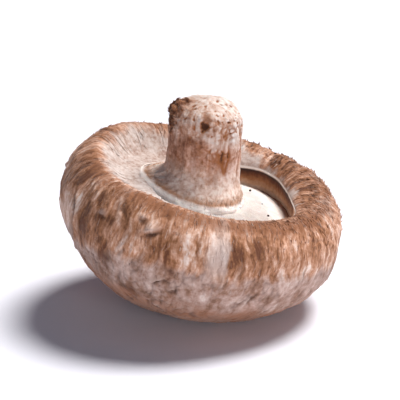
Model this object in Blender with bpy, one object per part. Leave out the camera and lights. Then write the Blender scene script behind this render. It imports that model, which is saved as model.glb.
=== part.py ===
"""A fresh, thick shiitake mushroom, picked and resting upside down on its crown.

Three pieces make it: the cap, the ring of gills in the hollow of the cap, and the stem that stands in
the middle of the gills. Lengths are millimetres in the cap's own frame: its z axis runs from the crown
to the stem, and z = 0 is the widest ring of the cap. An angle runs round that axis from +X, the right
side, through +Y, the back. set_down() leans the cap's frame, flattens the crown where it touches the
surface and puts the origin in the middle of the footprint, in metres.
"""

from math import cos, pi, radians, sin, sqrt

import bmesh
import bpy
from mathutils import Matrix, Vector

# The cap
CAP_RADIUS = 29.2  # the widest ring
CROWN_DEPTH = 20.4  # from the widest ring down to the crown's pole
RIDGE_RADIUS = 23.2  # the top of the rolled margin
RIDGE_HEIGHT = 9.5
RIDGE_RISE_BACK = 1.5  # how much higher the margin stands behind, and lower in front
RIDGE_RISE_LEFT = 0.5
MARGIN_FULLNESS = 0.9  # 1 makes the margin's wall an elliptic arc, less makes it straighter
OUT_OF_ROUND = 0.008
PRESS_DEPTH = 1.3  # the flatter place low on the left, where the cap grew against its neighbour
PRESS_ANGLE = radians(193.0)
SWELL_DEPTH = 1.0  # the fuller place low on the right
SWELL_ANGLE = radians(-12.0)
SIDE_SPREAD = radians(50.0)  # how far round either place reaches
SIDE_HEIGHT = -10.0  # its middle
SIDE_TALL = 12.0

# The lip: the free edge of the margin, over the gills
LIP_RADIUS = 18.5
LIP_REACH_RIGHT = 0.45  # how much further out it lies on the right, and further in on the left
LIP_HEIGHT = 6.4
LIP_THICKNESS = 1.0
LIP_ROUNDING = 0.35
LIP_WAVES = (  # where it wanders: middle and spread in degrees, then millimetres out and up
    (-27.0, 32.0, 1.0, 0.0),
    (8.0, 34.0, -1.0, 0.3),
    (47.0, 30.0, 0.4, 0.7),
    (82.0, 32.0, -1.8, -0.2),
)
VEIL_ANGLE = radians(165.0)  # the middle of the side where a rest of the veil joins the lip to the stem
VEIL_SPREAD = radians(98.0)
VEIL_SLIT = 0.7  # what is open between the veil and the stem's collar
VEIL_SLOPE = 0.65  # the share of the way in over which the margin comes down there, before it runs level

# The hollow that holds the gills
UNDERCUT = 0.9  # how far its wall stands back behind the lip
WALL_SHOWING = 0.4  # how much of it stands straight over the gills
HOLLOW_FLOOR = -1.6
GAP = 0.3  # between two pieces that grew together

# The gills
GILL_COUNT = 84
GILL_DEPTH = 1.0
GILLS_INNER_HEIGHT = 4.3  # at the stem
GILLS_OUTER_HEIGHT = 2.5  # under the lip
GILLS_CROWNING = 0.2  # how far they stand above the straight line between the two

# The stem
STEM_CENTRE = -2.1  # its collar stands this far right of the cap's axis
STEM_SHIFT = 1.7  # how far right of the collar the shaft stands
STEM_LEAN = radians(-8.5)  # away from the cap's axis, to the left
STEM_RADIUS = 7.3
STEM_TOP = 25.2  # height along the stem's own axis
STEM_FREE = 0.27  # the share of its length from which it stands straight and leans
STEM_RINGS = (0.05, 0.11, 0.18, 0.27, 0.38, 0.52, 0.66, 0.78, 0.86, 0.92, 0.96, 0.985)  # shares of its length
COLLAR_RADIUS = 10.6
COLLAR_HEIGHT = 4.7  # where the collar leaves the gills
COLLAR_FLARE = 6.8  # the height over which the collar narrows to the stem
COLLAR_REACH_LEFT = 1.4  # how much wider it is on the left, where the veil meets it
COLLAR_RISE_LEFT = 2.2  # and how much higher
COLLAR_SIDE_SPREAD = radians(120.0)
COLLAR_SETTLE = 9.0  # the height over which that rise fades
STEM_END_ROUNDING = 4.2  # the height over which the cut end closes

# How it lies
LEAN = radians(12.0)  # the cap's axis leans to the right
REST_FLAT = 1.2  # how much of the crown is flattened by the surface it rests on

# The meshes
CAP_STEPS = 60
STEM_STEPS = 42
WELD = 0.02  # points this near the cut through the crown become one
MM = 0.001


def clear_scene():
    """Remove whatever objects and meshes the file opened with."""
    for obj in list(bpy.data.objects):
        bpy.data.objects.remove(obj, do_unlink=True)
    for mesh in list(bpy.data.meshes):
        bpy.data.meshes.remove(mesh)


def round_angle(angle):
    """The same angle between -pi and pi."""
    return (angle + pi) % (2.0 * pi) - pi


def bump(distance):
    """1 at distance 0, falling smoothly to 0 at distance 1 and beyond."""
    if abs(distance) >= 1.0:
        return 0.0
    return 0.5 + 0.5 * cos(pi * distance)


def veil(angle):
    """1 along the side where the veil still joins the lip to the stem, falling to 0 away from it."""
    return 1.0 - (1.0 - bump(round_angle(angle - VEIL_ANGLE) / VEIL_SPREAD)) ** 3


def collar_side(angle):
    """1 on the collar's left, falling to 0 towards its right."""
    return bump(round_angle(angle - pi) / COLLAR_SIDE_SPREAD)


def collar_radius(angle):
    """The collar's radius about the stem's own centre."""
    return COLLAR_RADIUS + COLLAR_REACH_LEFT * collar_side(angle)


def collar_distance(angle):
    """How far the collar's edge lies from the cap's axis."""
    aside = STEM_CENTRE * sin(angle)
    return STEM_CENTRE * cos(angle) + sqrt(collar_radius(angle) ** 2 - aside ** 2)


def outer_radius(angle, radius, height):
    """A radius on the outside of the cap: out of round, flatter low on the left, fuller on the right."""
    uneven = 1.0 + OUT_OF_ROUND * (cos(2.0 * angle) + 0.6 * sin(3.0 * angle + 0.8))
    swell = SWELL_DEPTH * bump(round_angle(angle - SWELL_ANGLE) / SIDE_SPREAD)
    press = PRESS_DEPTH * bump(round_angle(angle - PRESS_ANGLE) / SIDE_SPREAD)
    side = (swell - press) * bump((height - SIDE_HEIGHT) / SIDE_TALL)
    return radius * (uneven + side / CAP_RADIUS)


def ridge_height(angle):
    """The height of the rolled margin, which stands higher behind and on the left."""
    wave = 0.2 * sin(3.0 * angle + 0.4) + 0.12 * sin(5.0 * angle)
    return RIDGE_HEIGHT + RIDGE_RISE_BACK * sin(angle) - RIDGE_RISE_LEFT * cos(angle) + wave


def free_lip(angle):
    """Radius and height of the lip as it would be without the veil."""
    radius = LIP_RADIUS + LIP_REACH_RIGHT * cos(angle)
    height = LIP_HEIGHT
    for middle, spread, out, up in LIP_WAVES:
        share = bump(round_angle(angle - radians(middle)) / radians(spread))
        radius += out * share
        height += up * share
    return radius, height


def lip_edge(angle):
    """Radius and height of the lip, carried in to the collar where the veil is left."""
    radius, height = free_lip(angle)
    return radius + (collar_distance(angle) + VEIL_SLIT - radius) * veil(angle), height


def crown_points(angle, steps):
    """The dome from its pole to just under the widest ring."""
    for i in range(steps):
        turn = 0.5 * pi * i / steps
        height = -CROWN_DEPTH * cos(turn)
        yield outer_radius(angle, CAP_RADIUS * sin(turn), height), height


def margin_points(angle, steps):
    """The outer wall from the widest ring up to the top of the rolled margin."""
    for i in range(steps):
        turn = 0.5 * pi * i / steps
        height = ridge_height(angle) * sin(turn)
        narrowing = 1.0 - cos(turn) ** (1.0 / MARGIN_FULLNESS)
        radius = CAP_RADIUS - (CAP_RADIUS - RIDGE_RADIUS) * narrowing
        yield outer_radius(angle, radius, height), height


def fold_points(angle, steps):
    """From the top of the margin down its inner slope to the lip."""
    top = ridge_height(angle)
    start = outer_radius(angle, RIDGE_RADIUS, top)
    end, edge = lip_edge(angle)
    for i in range(steps + 1):
        turn = 0.5 * pi * i / steps
        rolled = (1.0 - cos(turn)) ** 0.8
        share = min(1.0, sin(turn) / VEIL_SLOPE)
        sloping = share * share * (3.0 - 2.0 * share)
        fall = rolled + (sloping - rolled) * veil(angle)
        yield start - (start - end) * sin(turn), top - (top - edge) * fall


def hollow_radius(angle):
    """The radius of the wall that the gills end at."""
    return free_lip(angle)[0] + UNDERCUT


def hollow_points(angle):
    """Round the lip, back under it, down the wall of the hollow and in over its floor."""
    radius, edge = lip_edge(angle)
    wall = hollow_radius(angle)
    under = edge - LIP_THICKNESS
    wall_top = GILLS_OUTER_HEIGHT + GAP + WALL_SHOWING
    yield radius - 0.3 * LIP_ROUNDING, edge - 0.4 * LIP_THICKNESS
    yield radius + LIP_ROUNDING, under
    yield 0.5 * (radius + LIP_ROUNDING + wall), 0.5 * (under + wall_top) + 0.15
    yield wall, wall_top
    yield wall, HOLLOW_FLOOR
    yield 0.5 * wall, HOLLOW_FLOOR


def cap_profile(angle):
    """The cap's whole outline on one side, from the crown's pole to near the hollow's middle."""
    points = list(crown_points(angle, 10))
    points += margin_points(angle, 6)
    points += fold_points(angle, 7)
    points += hollow_points(angle)
    return points


def turned(profile_at, steps, centre_end):
    """Rings of points for a shape whose outline changes as it turns, from one pole to the other."""
    angles = [2.0 * pi * k / steps for k in range(steps)]
    outlines = [profile_at(angle) for angle in angles]
    rings = [[Vector((0.0, 0.0, outlines[0][0][1]))]]
    for i in range(1, len(outlines[0])):
        ring = []
        for angle, outline in zip(angles, outlines):
            radius, height = outline[i]
            ring.append(Vector((radius * cos(angle), radius * sin(angle), height)))
        rings.append(ring)
    rings.append([Vector((0.0, 0.0, centre_end))])
    return rings


def bridge(bm, lower, upper):
    """Faces between two rings of vertices. A ring of one vertex is a pole."""
    steps = max(len(lower), len(upper))
    for k in range(steps):
        after = (k + 1) % steps
        if len(lower) == 1:
            bm.faces.new((lower[0], upper[after], upper[k]))
        elif len(upper) == 1:
            bm.faces.new((lower[k], lower[after], upper[0]))
        else:
            bm.faces.new((lower[k], lower[after], upper[after], upper[k]))


def skin(rings, closed):
    """A closed mesh through the rings, whose last ring joins the first if closed is true."""
    bm = bmesh.new()
    loops = [[bm.verts.new(point) for point in ring] for ring in rings]
    for lower, upper in zip(loops, loops[1:]):
        bridge(bm, lower, upper)
    if closed:
        bridge(bm, loops[-1], loops[0])
    bmesh.ops.recalc_face_normals(bm, faces=bm.faces)
    return bm


def cap_mesh():
    """The cap: a turned shape with a rolled margin, pressed a little out of round."""
    return skin(turned(cap_profile, CAP_STEPS, HOLLOW_FLOOR), closed=False)


def gill_ring(share, height, depth, steps):
    """One ring of the gills: share 0 lies at the stem and 1 at the wall of the hollow."""
    ring = []
    for k in range(steps):
        angle = 2.0 * pi * k / steps
        inner = collar_radius(angle) + GAP
        outer = hollow_radius(angle) - GAP
        near = Vector((STEM_CENTRE + inner * cos(angle), inner * sin(angle), 0.0))
        far = Vector((outer * cos(angle), outer * sin(angle), 0.0))
        point = near.lerp(far, share)
        point.z = height - (depth if k % 2 else 0.0)
        ring.append(point)
    return ring


def gills_mesh():
    """The gills: one ring of blades, which fall a little from the stem to the wall of the hollow."""
    steps = 2 * GILL_COUNT
    base = HOLLOW_FLOOR + GAP
    middle = 0.5 * (GILLS_INNER_HEIGHT + GILLS_OUTER_HEIGHT) + GILLS_CROWNING
    rings = [
        gill_ring(0.0, base, 0.0, steps),
        gill_ring(0.0, GILLS_INNER_HEIGHT, GILL_DEPTH, steps),
        gill_ring(0.5, middle, GILL_DEPTH, steps),
        gill_ring(1.0, GILLS_OUTER_HEIGHT, GILL_DEPTH, steps),
        gill_ring(1.0, base, 0.0, steps),
    ]
    return skin(rings, closed=True)


def stem_radius(angle, height):
    """The stem's radius at a height along its axis: collar, shaft and rounded cut end."""
    narrowing = min(1.0, (height - COLLAR_HEIGHT) / COLLAR_FLARE)
    radius = STEM_RADIUS + (collar_radius(angle) - STEM_RADIUS) * (1.0 - narrowing) ** 2.2
    to_end = STEM_TOP - height
    if to_end < STEM_END_ROUNDING:
        closing = 1.0 - to_end / STEM_END_ROUNDING
        radius *= sqrt(max(0.0, 1.0 - closing ** 2.6))
    return radius


def stem_ring(height, grown):
    """A ring of the stem. grown runs from 0 at the collar to 1 where the shaft stands free and leans."""
    turn = Matrix.Rotation(STEM_LEAN * grown, 3, "Y")
    centre = Vector((STEM_CENTRE + STEM_SHIFT * grown, 0.0, COLLAR_HEIGHT))
    centre += turn @ Vector((0.0, 0.0, height - COLLAR_HEIGHT))
    rise = COLLAR_RISE_LEFT * max(0.0, 1.0 - (height - COLLAR_HEIGHT) / COLLAR_SETTLE) ** 2
    ring = []
    for k in range(STEM_STEPS):
        angle = 2.0 * pi * k / STEM_STEPS
        uneven = 1.0 + grown * (0.03 * cos(2.0 * angle + 0.7) + 0.02 * sin(3.0 * angle))
        radius = stem_radius(angle, height) * uneven
        point = centre + turn @ Vector((radius * cos(angle), radius * sin(angle), 0.0))
        point.z += rise * collar_side(angle)
        ring.append(point)
    return ring


def stem_foot():
    """The rings below the gills' surface: the pole of the foot, its flat end and its straight wall."""
    foot = Vector((STEM_CENTRE, 0.0, HOLLOW_FLOOR + GAP))
    collar = stem_ring(COLLAR_HEIGHT, 0.0)
    wall = [Vector((point.x, point.y, foot.z)) for point in collar]
    return [[foot], [foot.lerp(point, 0.5) for point in wall], wall, collar]


def stem_mesh():
    """The stem: a straight foot between the gills, a flared collar, a stout shaft and a rounded end."""
    rings = stem_foot()
    shaft = STEM_TOP - COLLAR_HEIGHT
    for share in STEM_RINGS:
        grown = 1.0 - bump(share / STEM_FREE)
        rings.append(stem_ring(COLLAR_HEIGHT + share * shaft, grown))
    end = Matrix.Rotation(STEM_LEAN, 3, "Y") @ Vector((0.0, 0.0, shaft))
    rings.append([Vector((STEM_CENTRE + STEM_SHIFT, 0.0, COLLAR_HEIGHT)) + end])
    return skin(rings, closed=False)


def flatten_crown(bm):
    """Cut the leaning crown off level, a little above its lowest point, and close the cut."""
    level = min(vertex.co.z for vertex in bm.verts) + REST_FLAT
    everything = bm.verts[:] + bm.edges[:] + bm.faces[:]
    bmesh.ops.bisect_plane(
        bm, geom=everything, plane_co=(0.0, 0.0, level), plane_no=(0.0, 0.0, 1.0), clear_inner=True
    )
    bmesh.ops.remove_doubles(bm, verts=bm.verts, dist=WELD)
    rim = [edge for edge in bm.edges if edge.is_boundary]
    bmesh.ops.contextual_create(bm, geom=rim)
    bmesh.ops.recalc_face_normals(bm, faces=bm.faces)
    return level


def material(name, colour, roughness):
    """A plain surface of one colour."""
    made = bpy.data.materials.new(name)
    made.use_nodes = True
    shader = made.node_tree.nodes["Principled BSDF"]
    shader.inputs["Base Color"].default_value = (*colour, 1.0)
    shader.inputs["Roughness"].default_value = roughness
    shader.inputs["Metallic"].default_value = 0.0
    return made


def add_piece(name, bm, surface):
    """Turn a mesh in metres into a named, smooth-shaded object."""
    mesh = bpy.data.meshes.new(name)
    bm.to_mesh(mesh)
    bm.free()
    mesh.shade_smooth()
    mesh.set_sharp_from_angle(angle=radians(50.0))
    mesh.materials.append(surface)
    piece = bpy.data.objects.new(name, mesh)
    bpy.context.scene.collection.objects.link(piece)
    return piece


def set_down(meshes):
    """Lean the meshes, flatten the crown and put the origin in the middle of the footprint."""
    lean = Matrix.Rotation(LEAN, 4, "Y")
    for bm in meshes.values():
        bmesh.ops.transform(bm, matrix=lean, verts=bm.verts)
    level = flatten_crown(meshes["cap"])
    places = [vertex.co.copy() for bm in meshes.values() for vertex in bm.verts]
    middle = [0.5 * (min(p[i] for p in places) + max(p[i] for p in places)) for i in (0, 1)]
    move = Matrix.Translation((-middle[0], -middle[1], -level))
    for bm in meshes.values():
        bmesh.ops.transform(bm, matrix=Matrix.Scale(MM, 4) @ move, verts=bm.verts)


def main():
    clear_scene()
    meshes = {"cap": cap_mesh(), "gills": gills_mesh(), "stem": stem_mesh()}
    set_down(meshes)
    add_piece("cap", meshes["cap"], material("cap skin", (0.30, 0.16, 0.10), 0.75))
    add_piece("gills", meshes["gills"], material("gill cream", (0.72, 0.62, 0.53), 0.70))
    add_piece("stem", meshes["stem"], material("stem flesh", (0.52, 0.38, 0.29), 0.80))


main()
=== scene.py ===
# %% [markdown]
# # A fresh shiitake mushroom, resting upside down on its crown
#
# A thick young shiitake has three things to look at: the cap, whose brown skin is felted with fibres and
# whose margin still rolls in over the gills, the cream gills in the hollow, and a short stout stem with a
# rough cut end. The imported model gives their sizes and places. This lesson gives them their real surface:
# each one is a grid of points that follows the same outline as the model, pushed in and out with noise
# until it has the ridges, cracks and pits of the real thing.

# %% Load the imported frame
from math import cos, pi, radians, sin

import bpy
import numpy as np
from mathutils import Matrix, Vector


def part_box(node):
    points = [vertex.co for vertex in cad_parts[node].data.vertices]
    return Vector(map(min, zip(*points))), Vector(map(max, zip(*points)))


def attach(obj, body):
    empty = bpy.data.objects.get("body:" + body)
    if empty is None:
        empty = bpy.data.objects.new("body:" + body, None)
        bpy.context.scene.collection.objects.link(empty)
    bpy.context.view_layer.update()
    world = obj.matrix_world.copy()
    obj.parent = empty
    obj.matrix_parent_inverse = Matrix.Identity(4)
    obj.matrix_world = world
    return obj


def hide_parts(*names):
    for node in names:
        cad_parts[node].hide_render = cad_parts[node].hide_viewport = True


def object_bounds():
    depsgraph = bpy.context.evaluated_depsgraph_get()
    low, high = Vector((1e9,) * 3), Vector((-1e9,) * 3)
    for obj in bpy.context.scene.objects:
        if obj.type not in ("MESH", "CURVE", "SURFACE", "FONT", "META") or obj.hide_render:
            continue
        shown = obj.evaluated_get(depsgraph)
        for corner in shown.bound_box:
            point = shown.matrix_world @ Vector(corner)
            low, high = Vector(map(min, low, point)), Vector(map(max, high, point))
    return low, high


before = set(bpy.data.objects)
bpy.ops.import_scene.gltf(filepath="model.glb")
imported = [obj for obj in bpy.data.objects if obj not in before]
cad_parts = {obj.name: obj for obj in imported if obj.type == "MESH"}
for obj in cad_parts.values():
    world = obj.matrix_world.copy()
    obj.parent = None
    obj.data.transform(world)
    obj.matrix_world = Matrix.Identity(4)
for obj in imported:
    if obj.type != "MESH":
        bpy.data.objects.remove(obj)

MM = 0.001
cad_box = [list(corner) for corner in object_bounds()]
print("nodes of the model:", ", ".join(sorted(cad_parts)))
print("model box in mm:", np.round(np.array(cad_box) / MM, 1).tolist())

# %% [markdown]
# ## Camera
#
# A small thing on a table is shown best from a little above through a long lens, so that its shape isn't
# stretched. The camera looks along +Y from 20 degrees above the table. It aims at the middle of the
# mushroom's box, which comes from the frame, and stands as far away as makes the field of view fit.

# %% Camera
ELEVATION = radians(20.0)
LENS = 300.0  # mm, on a 36 mm wide sensor
FIELD = 0.082  # metres seen across at the mushroom

low, high = Vector(cad_box[0]), Vector(cad_box[1])
aim = (low + high) / 2.0 + Vector((0.0, 0.0, 0.0005))
away = FIELD * LENS / 36.0
camera = bpy.data.objects.new("camera", bpy.data.cameras.new("camera"))
bpy.context.scene.collection.objects.link(camera)
camera.data.lens = LENS
camera.data.clip_start = 0.01
camera.location = aim + away * Vector((0.0, -cos(ELEVATION), sin(ELEVATION)))
camera.rotation_euler = (pi / 2.0 - ELEVATION, 0.0, 0.0)
bpy.context.scene.camera = camera
print("camera stands", round(away, 3), "m away")

# %% [markdown]
# ## Helpers for points
#
# Everything is worked out on arrays of points in millimetres, so one line moves a hundred thousand points.
# Blender's own noise takes one point at a time, so a small lattice noise in numpy is quicker. `cells` is
# the other pattern that grown things need: it gives the distance to the nearest of a scatter of seeds,
# which makes pits, and the difference between the nearest two, which makes cracks. `near` is the brush of
# this lesson: it picks out a place by its angle.

# %% Noise on arrays of points
TABLE_SIDE = 48  # the noise repeats after this many units
TINY = 1e-9  # keeps a division safe where a length is nothing


def noise(points, seed):
    """Smooth noise from -1 to 1, with about one bump to each unit of length."""
    table = np.random.default_rng(seed).uniform(-1.0, 1.0, (TABLE_SIDE,) * 3)
    corner = np.floor(points).astype(int)
    part = points - corner
    part = part * part * (3.0 - 2.0 * part)
    total = np.zeros(points.shape[:-1])
    for step in np.ndindex(2, 2, 2):
        index = (corner + np.array(step)) % TABLE_SIDE
        share = np.where(np.array(step) == 1, part, 1.0 - part).prod(axis=-1)
        total += share * table[index[..., 0], index[..., 1], index[..., 2]]
    return total


def fractal(points, seed, octaves=3):
    """Noise with finer and weaker noise added to it."""
    total = np.zeros(points.shape[:-1])
    for octave in range(octaves):
        total += noise(points * 2.0 ** octave, seed + octave) / 1.8 ** octave
    return total


def grained(fibres, across, along, seed, octaves=3):
    """Noise that follows fibres, with bumps so many millimetres across them and along them."""
    return fractal(fibres / np.array([across, across, along]), seed, octaves)


def cells(points, seed):
    """Distance from each point to the nearest seed of a scatter, one to each unit cube, and to the next."""
    offsets = np.random.default_rng(seed).uniform(0.0, 1.0, (TABLE_SIDE,) * 3 + (3,))
    base = np.floor(points).astype(int)
    nearest, second = np.full((2, *points.shape[:-1]), np.inf)
    for step in np.ndindex(3, 3, 3):
        corner = base + np.array(step) - 1
        index = corner % TABLE_SIDE
        seeds = corner + offsets[index[..., 0], index[..., 1], index[..., 2]]
        away = np.linalg.norm(seeds - points, axis=-1)
        second = np.minimum(second, np.maximum(nearest, away))
        nearest = np.minimum(nearest, away)
    return nearest, second


sample = fractal(np.random.default_rng(1).uniform(0.0, TABLE_SIDE, (1000, 3)), 1)
print("noise of three octaves has a spread of", round(float(sample.std()), 2))


# %% Steps, bumps and angles
def step_up(value, start, end):
    """0 below start, 1 above end, smooth between."""
    share = np.clip((value - start) / (end - start), 0.0, 1.0)
    return share * share * (3.0 - 2.0 * share)


def bump(distance):
    """1 at distance 0, falling smoothly to 0 at distance 1 and beyond."""
    return np.where(np.abs(distance) < 1.0, 0.5 + 0.5 * np.cos(pi * distance), 0.0)


def round_angle(angle):
    """The same angle between -pi and pi."""
    return (angle + pi) % (2.0 * pi) - pi


def near(turn, middle, spread):
    """1 at a middle angle, falling to 0 a spread to each side. The middle and the spread are in degrees."""
    return bump(round_angle(turn - radians(middle)) / radians(spread))


def arc(turn, middle, radius):
    """Millimetres round a circle of that radius from a middle angle in degrees."""
    return round_angle(turn - radians(middle)) * radius


print("a bump at 0, a half and 1:", bump(np.array([0.0, 0.5, 1.0])).round(2).tolist())

# %% [markdown]
# ## Helpers for meshes
#
# Cap, gills and stem are each a grid of points: its rows run along the outline and its columns run round and
# join up. Such a grid could be a lathe or Screw modifier, but then its points couldn't be moved one by one.

# %% Faces, normals and lengths of a grid
def grid_faces(rows, columns):
    """Quads of a grid whose columns run round and join up."""
    row, column = np.meshgrid(np.arange(rows - 1), np.arange(columns), indexing="ij")
    after = (column + 1) % columns
    start, end = row * columns, (row + 1) * columns
    corners = (start + column, start + after, end + after, end + column)
    return np.stack(corners, axis=-1).reshape(-1, 4)


def unit(vectors):
    """The same directions with a length of 1."""
    return vectors / np.maximum(np.linalg.norm(vectors, axis=-1, keepdims=True), TINY)


def normals_of(grid, row):
    """Unit normals of a grid whose columns join up, on the side that points outward at one row."""
    across = np.roll(grid, -1, axis=1) - np.roll(grid, 1, axis=1)
    normal = unit(np.cross(across, np.gradient(grid, axis=0)))
    ring = grid[row] - grid[row].mean(axis=0)
    return normal if (normal[row] * ring).sum() > 0.0 else -normal


def length_along(grid):
    """Millimetres along each column of a grid from its first row."""
    steps = np.linalg.norm(np.diff(grid, axis=0), axis=-1)
    return np.concatenate([np.zeros((1, grid.shape[1])), steps.cumsum(axis=0)])


def on_grid(grid, row, column):
    """Values of a grid at rows and columns with fractions. The columns join up."""
    top = np.clip(np.floor(row).astype(int), 0, grid.shape[0] - 2)
    left = np.floor(column).astype(int) % grid.shape[1]
    right = (left + 1) % grid.shape[1]
    down = np.clip(row - top, 0.0, 1.0)
    over = column - np.floor(column)
    if grid.ndim == 3:
        down, over = down[..., None], over[..., None]
    upper = grid[top, left] * (1.0 - over) + grid[top, right] * over
    lower = grid[top + 1, left] * (1.0 - over) + grid[top + 1, right] * over
    return upper * (1.0 - down) + lower * down


print("a ring of 3 rows and 8 columns has", len(grid_faces(3, 8)), "faces")


# %% Meshes from points
def add_mesh(name, points, faces, masks):
    """A smooth-shaded object from points in millimetres, with its masks as attributes of the points."""
    mesh = bpy.data.meshes.new(name)
    mesh.from_pydata((points * MM).tolist(), [], faces)
    mesh.update()
    for mask, values in masks.items():
        kind, field = ("FLOAT_VECTOR", "vector") if values.ndim == 2 else ("FLOAT", "value")
        made = mesh.attributes.new(mask, kind, "POINT")
        made.data.foreach_set(field, values.astype(np.float32).ravel())
    mesh.shade_smooth()
    piece = bpy.data.objects.new(name, mesh)
    bpy.context.scene.collection.objects.link(piece)
    print(name, "has", len(mesh.vertices), "points and", len(mesh.polygons), "faces")
    return piece


def closed_grid(name, grid, masks, place):
    """A grid closed at both ends by one point: the first and last rows are each shrunk to their middle."""
    rows, columns = grid.shape[:2]
    body = grid[1:-1].reshape(-1, 3)
    ends = np.array([grid[0].mean(axis=0), grid[-1].mean(axis=0)])
    faces = grid_faces(rows - 2, columns).tolist()
    start, end = len(body), len(body) + 1
    final = (rows - 3) * columns
    for k in range(columns):
        after = (k + 1) % columns
        faces.append([start, after, k])
        faces.append([final + k, final + after, end])
    values = {}
    for mask, field in masks.items():
        tail = np.array([field[0].mean(axis=0), field[-1].mean(axis=0)])
        values[mask] = np.concatenate([field[1:-1].reshape(-1, *field.shape[2:]), tail])
    return add_mesh(name, place(np.concatenate([body, ends])), faces, values)

# %% [markdown]
# ## The outline of the cap
#
# The cap is a turned shape: a dome, a wall that rolls over at the top, an inner slope, and a thin lip over
# the hollow. It isn't quite round, it is flatter low on the left where it grew against a neighbour, and
# the margin stands higher behind. These are the same sizes and formulas that the model is built from,
# except that the lip here closes the model's slit along the rest of the veil. Lengths are millimetres and
# angles are degrees, in the cap's own frame, where z = 0 is the widest ring and z points to the stem.

# %% Sizes of the cap
CAP_RADIUS = 29.2
CROWN_DEPTH = 20.4
RIDGE_RADIUS = 23.2
RIDGE_HEIGHT = 9.5
RIDGE_RISE_BACK = 1.5
RIDGE_RISE_LEFT = 0.5
MARGIN_FULLNESS = 0.9
OUT_OF_ROUND = 0.008
PRESS_DEPTH = 1.3
PRESS_ANGLE = 193.0
SWELL_DEPTH = 1.0
SWELL_ANGLE = -12.0
SIDE_SPREAD = 50.0
SIDE_HEIGHT = -10.0
SIDE_TALL = 12.0
LIP_RADIUS = 18.5
LIP_REACH_RIGHT = 0.45
LIP_HEIGHT = 6.4
LIP_THICKNESS = 1.0
LIP_WAVES = (  # middle and spread, then how far out and up
    (-27.0, 32.0, 1.0, 0.0),
    (8.0, 34.0, -1.0, 0.3),
    (47.0, 30.0, 0.4, 0.7),
    (82.0, 32.0, -1.8, -0.2),
)
VEIL_ANGLE = 165.0
VEIL_SPREAD = 98.0
VEIL_OVERLAP = 0.4
VEIL_ABOVE = 0.2
VEIL_SLOPE = 0.65
UNDERCUT = 0.9
HOLLOW_FLOOR = -1.6
GILLS_OUTER_HEIGHT = 2.5
GILLS_INNER_HEIGHT = 4.3
STEM_CENTRE = -2.1
COLLAR_RADIUS = 10.6
COLLAR_HEIGHT = 4.7
COLLAR_REACH_LEFT = 1.4
COLLAR_RISE_LEFT = 2.2
COLLAR_SIDE_SPREAD = 120.0
LEAN = 12.0
print("the cap is", 2.0 * CAP_RADIUS, "mm across and", CROWN_DEPTH + RIDGE_HEIGHT, "mm thick with its margin")


# %% Outline of the cap
def outer_radius(angle, radius, height):
    """A radius on the outside of the cap: out of round, flatter low on the left, fuller on the right."""
    uneven = 1.0 + OUT_OF_ROUND * (np.cos(2.0 * angle) + 0.6 * np.sin(3.0 * angle + 0.8))
    swell = SWELL_DEPTH * near(angle, SWELL_ANGLE, SIDE_SPREAD)
    press = PRESS_DEPTH * near(angle, PRESS_ANGLE, SIDE_SPREAD)
    side = (swell - press) * bump((height - SIDE_HEIGHT) / SIDE_TALL)
    return radius * (uneven + side / CAP_RADIUS)


def ridge_height(angle):
    """The height of the rolled margin, which stands higher behind and on the left."""
    wave = 0.2 * np.sin(3.0 * angle + 0.4) + 0.12 * np.sin(5.0 * angle)
    return RIDGE_HEIGHT + RIDGE_RISE_BACK * np.sin(angle) - RIDGE_RISE_LEFT * np.cos(angle) + wave


def veil(angle):
    """1 along the side where the veil still joins the lip to the stem, falling to 0 away from it."""
    return 1.0 - (1.0 - near(angle, VEIL_ANGLE, VEIL_SPREAD)) ** 3


def collar_side(angle):
    """1 on the collar's left, falling to 0 towards its right."""
    return near(angle, 180.0, COLLAR_SIDE_SPREAD)


def free_lip(angle):
    """Radius and height of the lip as it would be without the veil."""
    radius = LIP_RADIUS + LIP_REACH_RIGHT * np.cos(angle)
    height = np.full_like(angle, LIP_HEIGHT)
    for middle, spread, out, up in LIP_WAVES:
        share = near(angle, middle, spread)
        radius = radius + out * share
        height = height + up * share
    return radius, height


def lip_edge(angle):
    """Radius and height of the lip, carried in to the collar where the veil is left."""
    radius, height = free_lip(angle)
    collar = COLLAR_RADIUS + COLLAR_REACH_LEFT * collar_side(angle)
    reach = STEM_CENTRE * np.cos(angle) + np.sqrt(collar ** 2 - (STEM_CENTRE * np.sin(angle)) ** 2)
    met = COLLAR_HEIGHT + COLLAR_RISE_LEFT * collar_side(angle) + VEIL_ABOVE
    share = veil(angle)
    return radius + (reach - VEIL_OVERLAP - radius) * share, height + (met - height) * share


# %% The whole outline
NOSE_ROWS = 8  # rows round the lip's edge
WALL_IN_ROWS = 12  # rows down the wall under the lip


def turns(rows, last=False):
    """A column of quarter turns from 0 to a right angle."""
    return np.linspace(0.0, pi / 2.0, rows, endpoint=last)[:, None]


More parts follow.
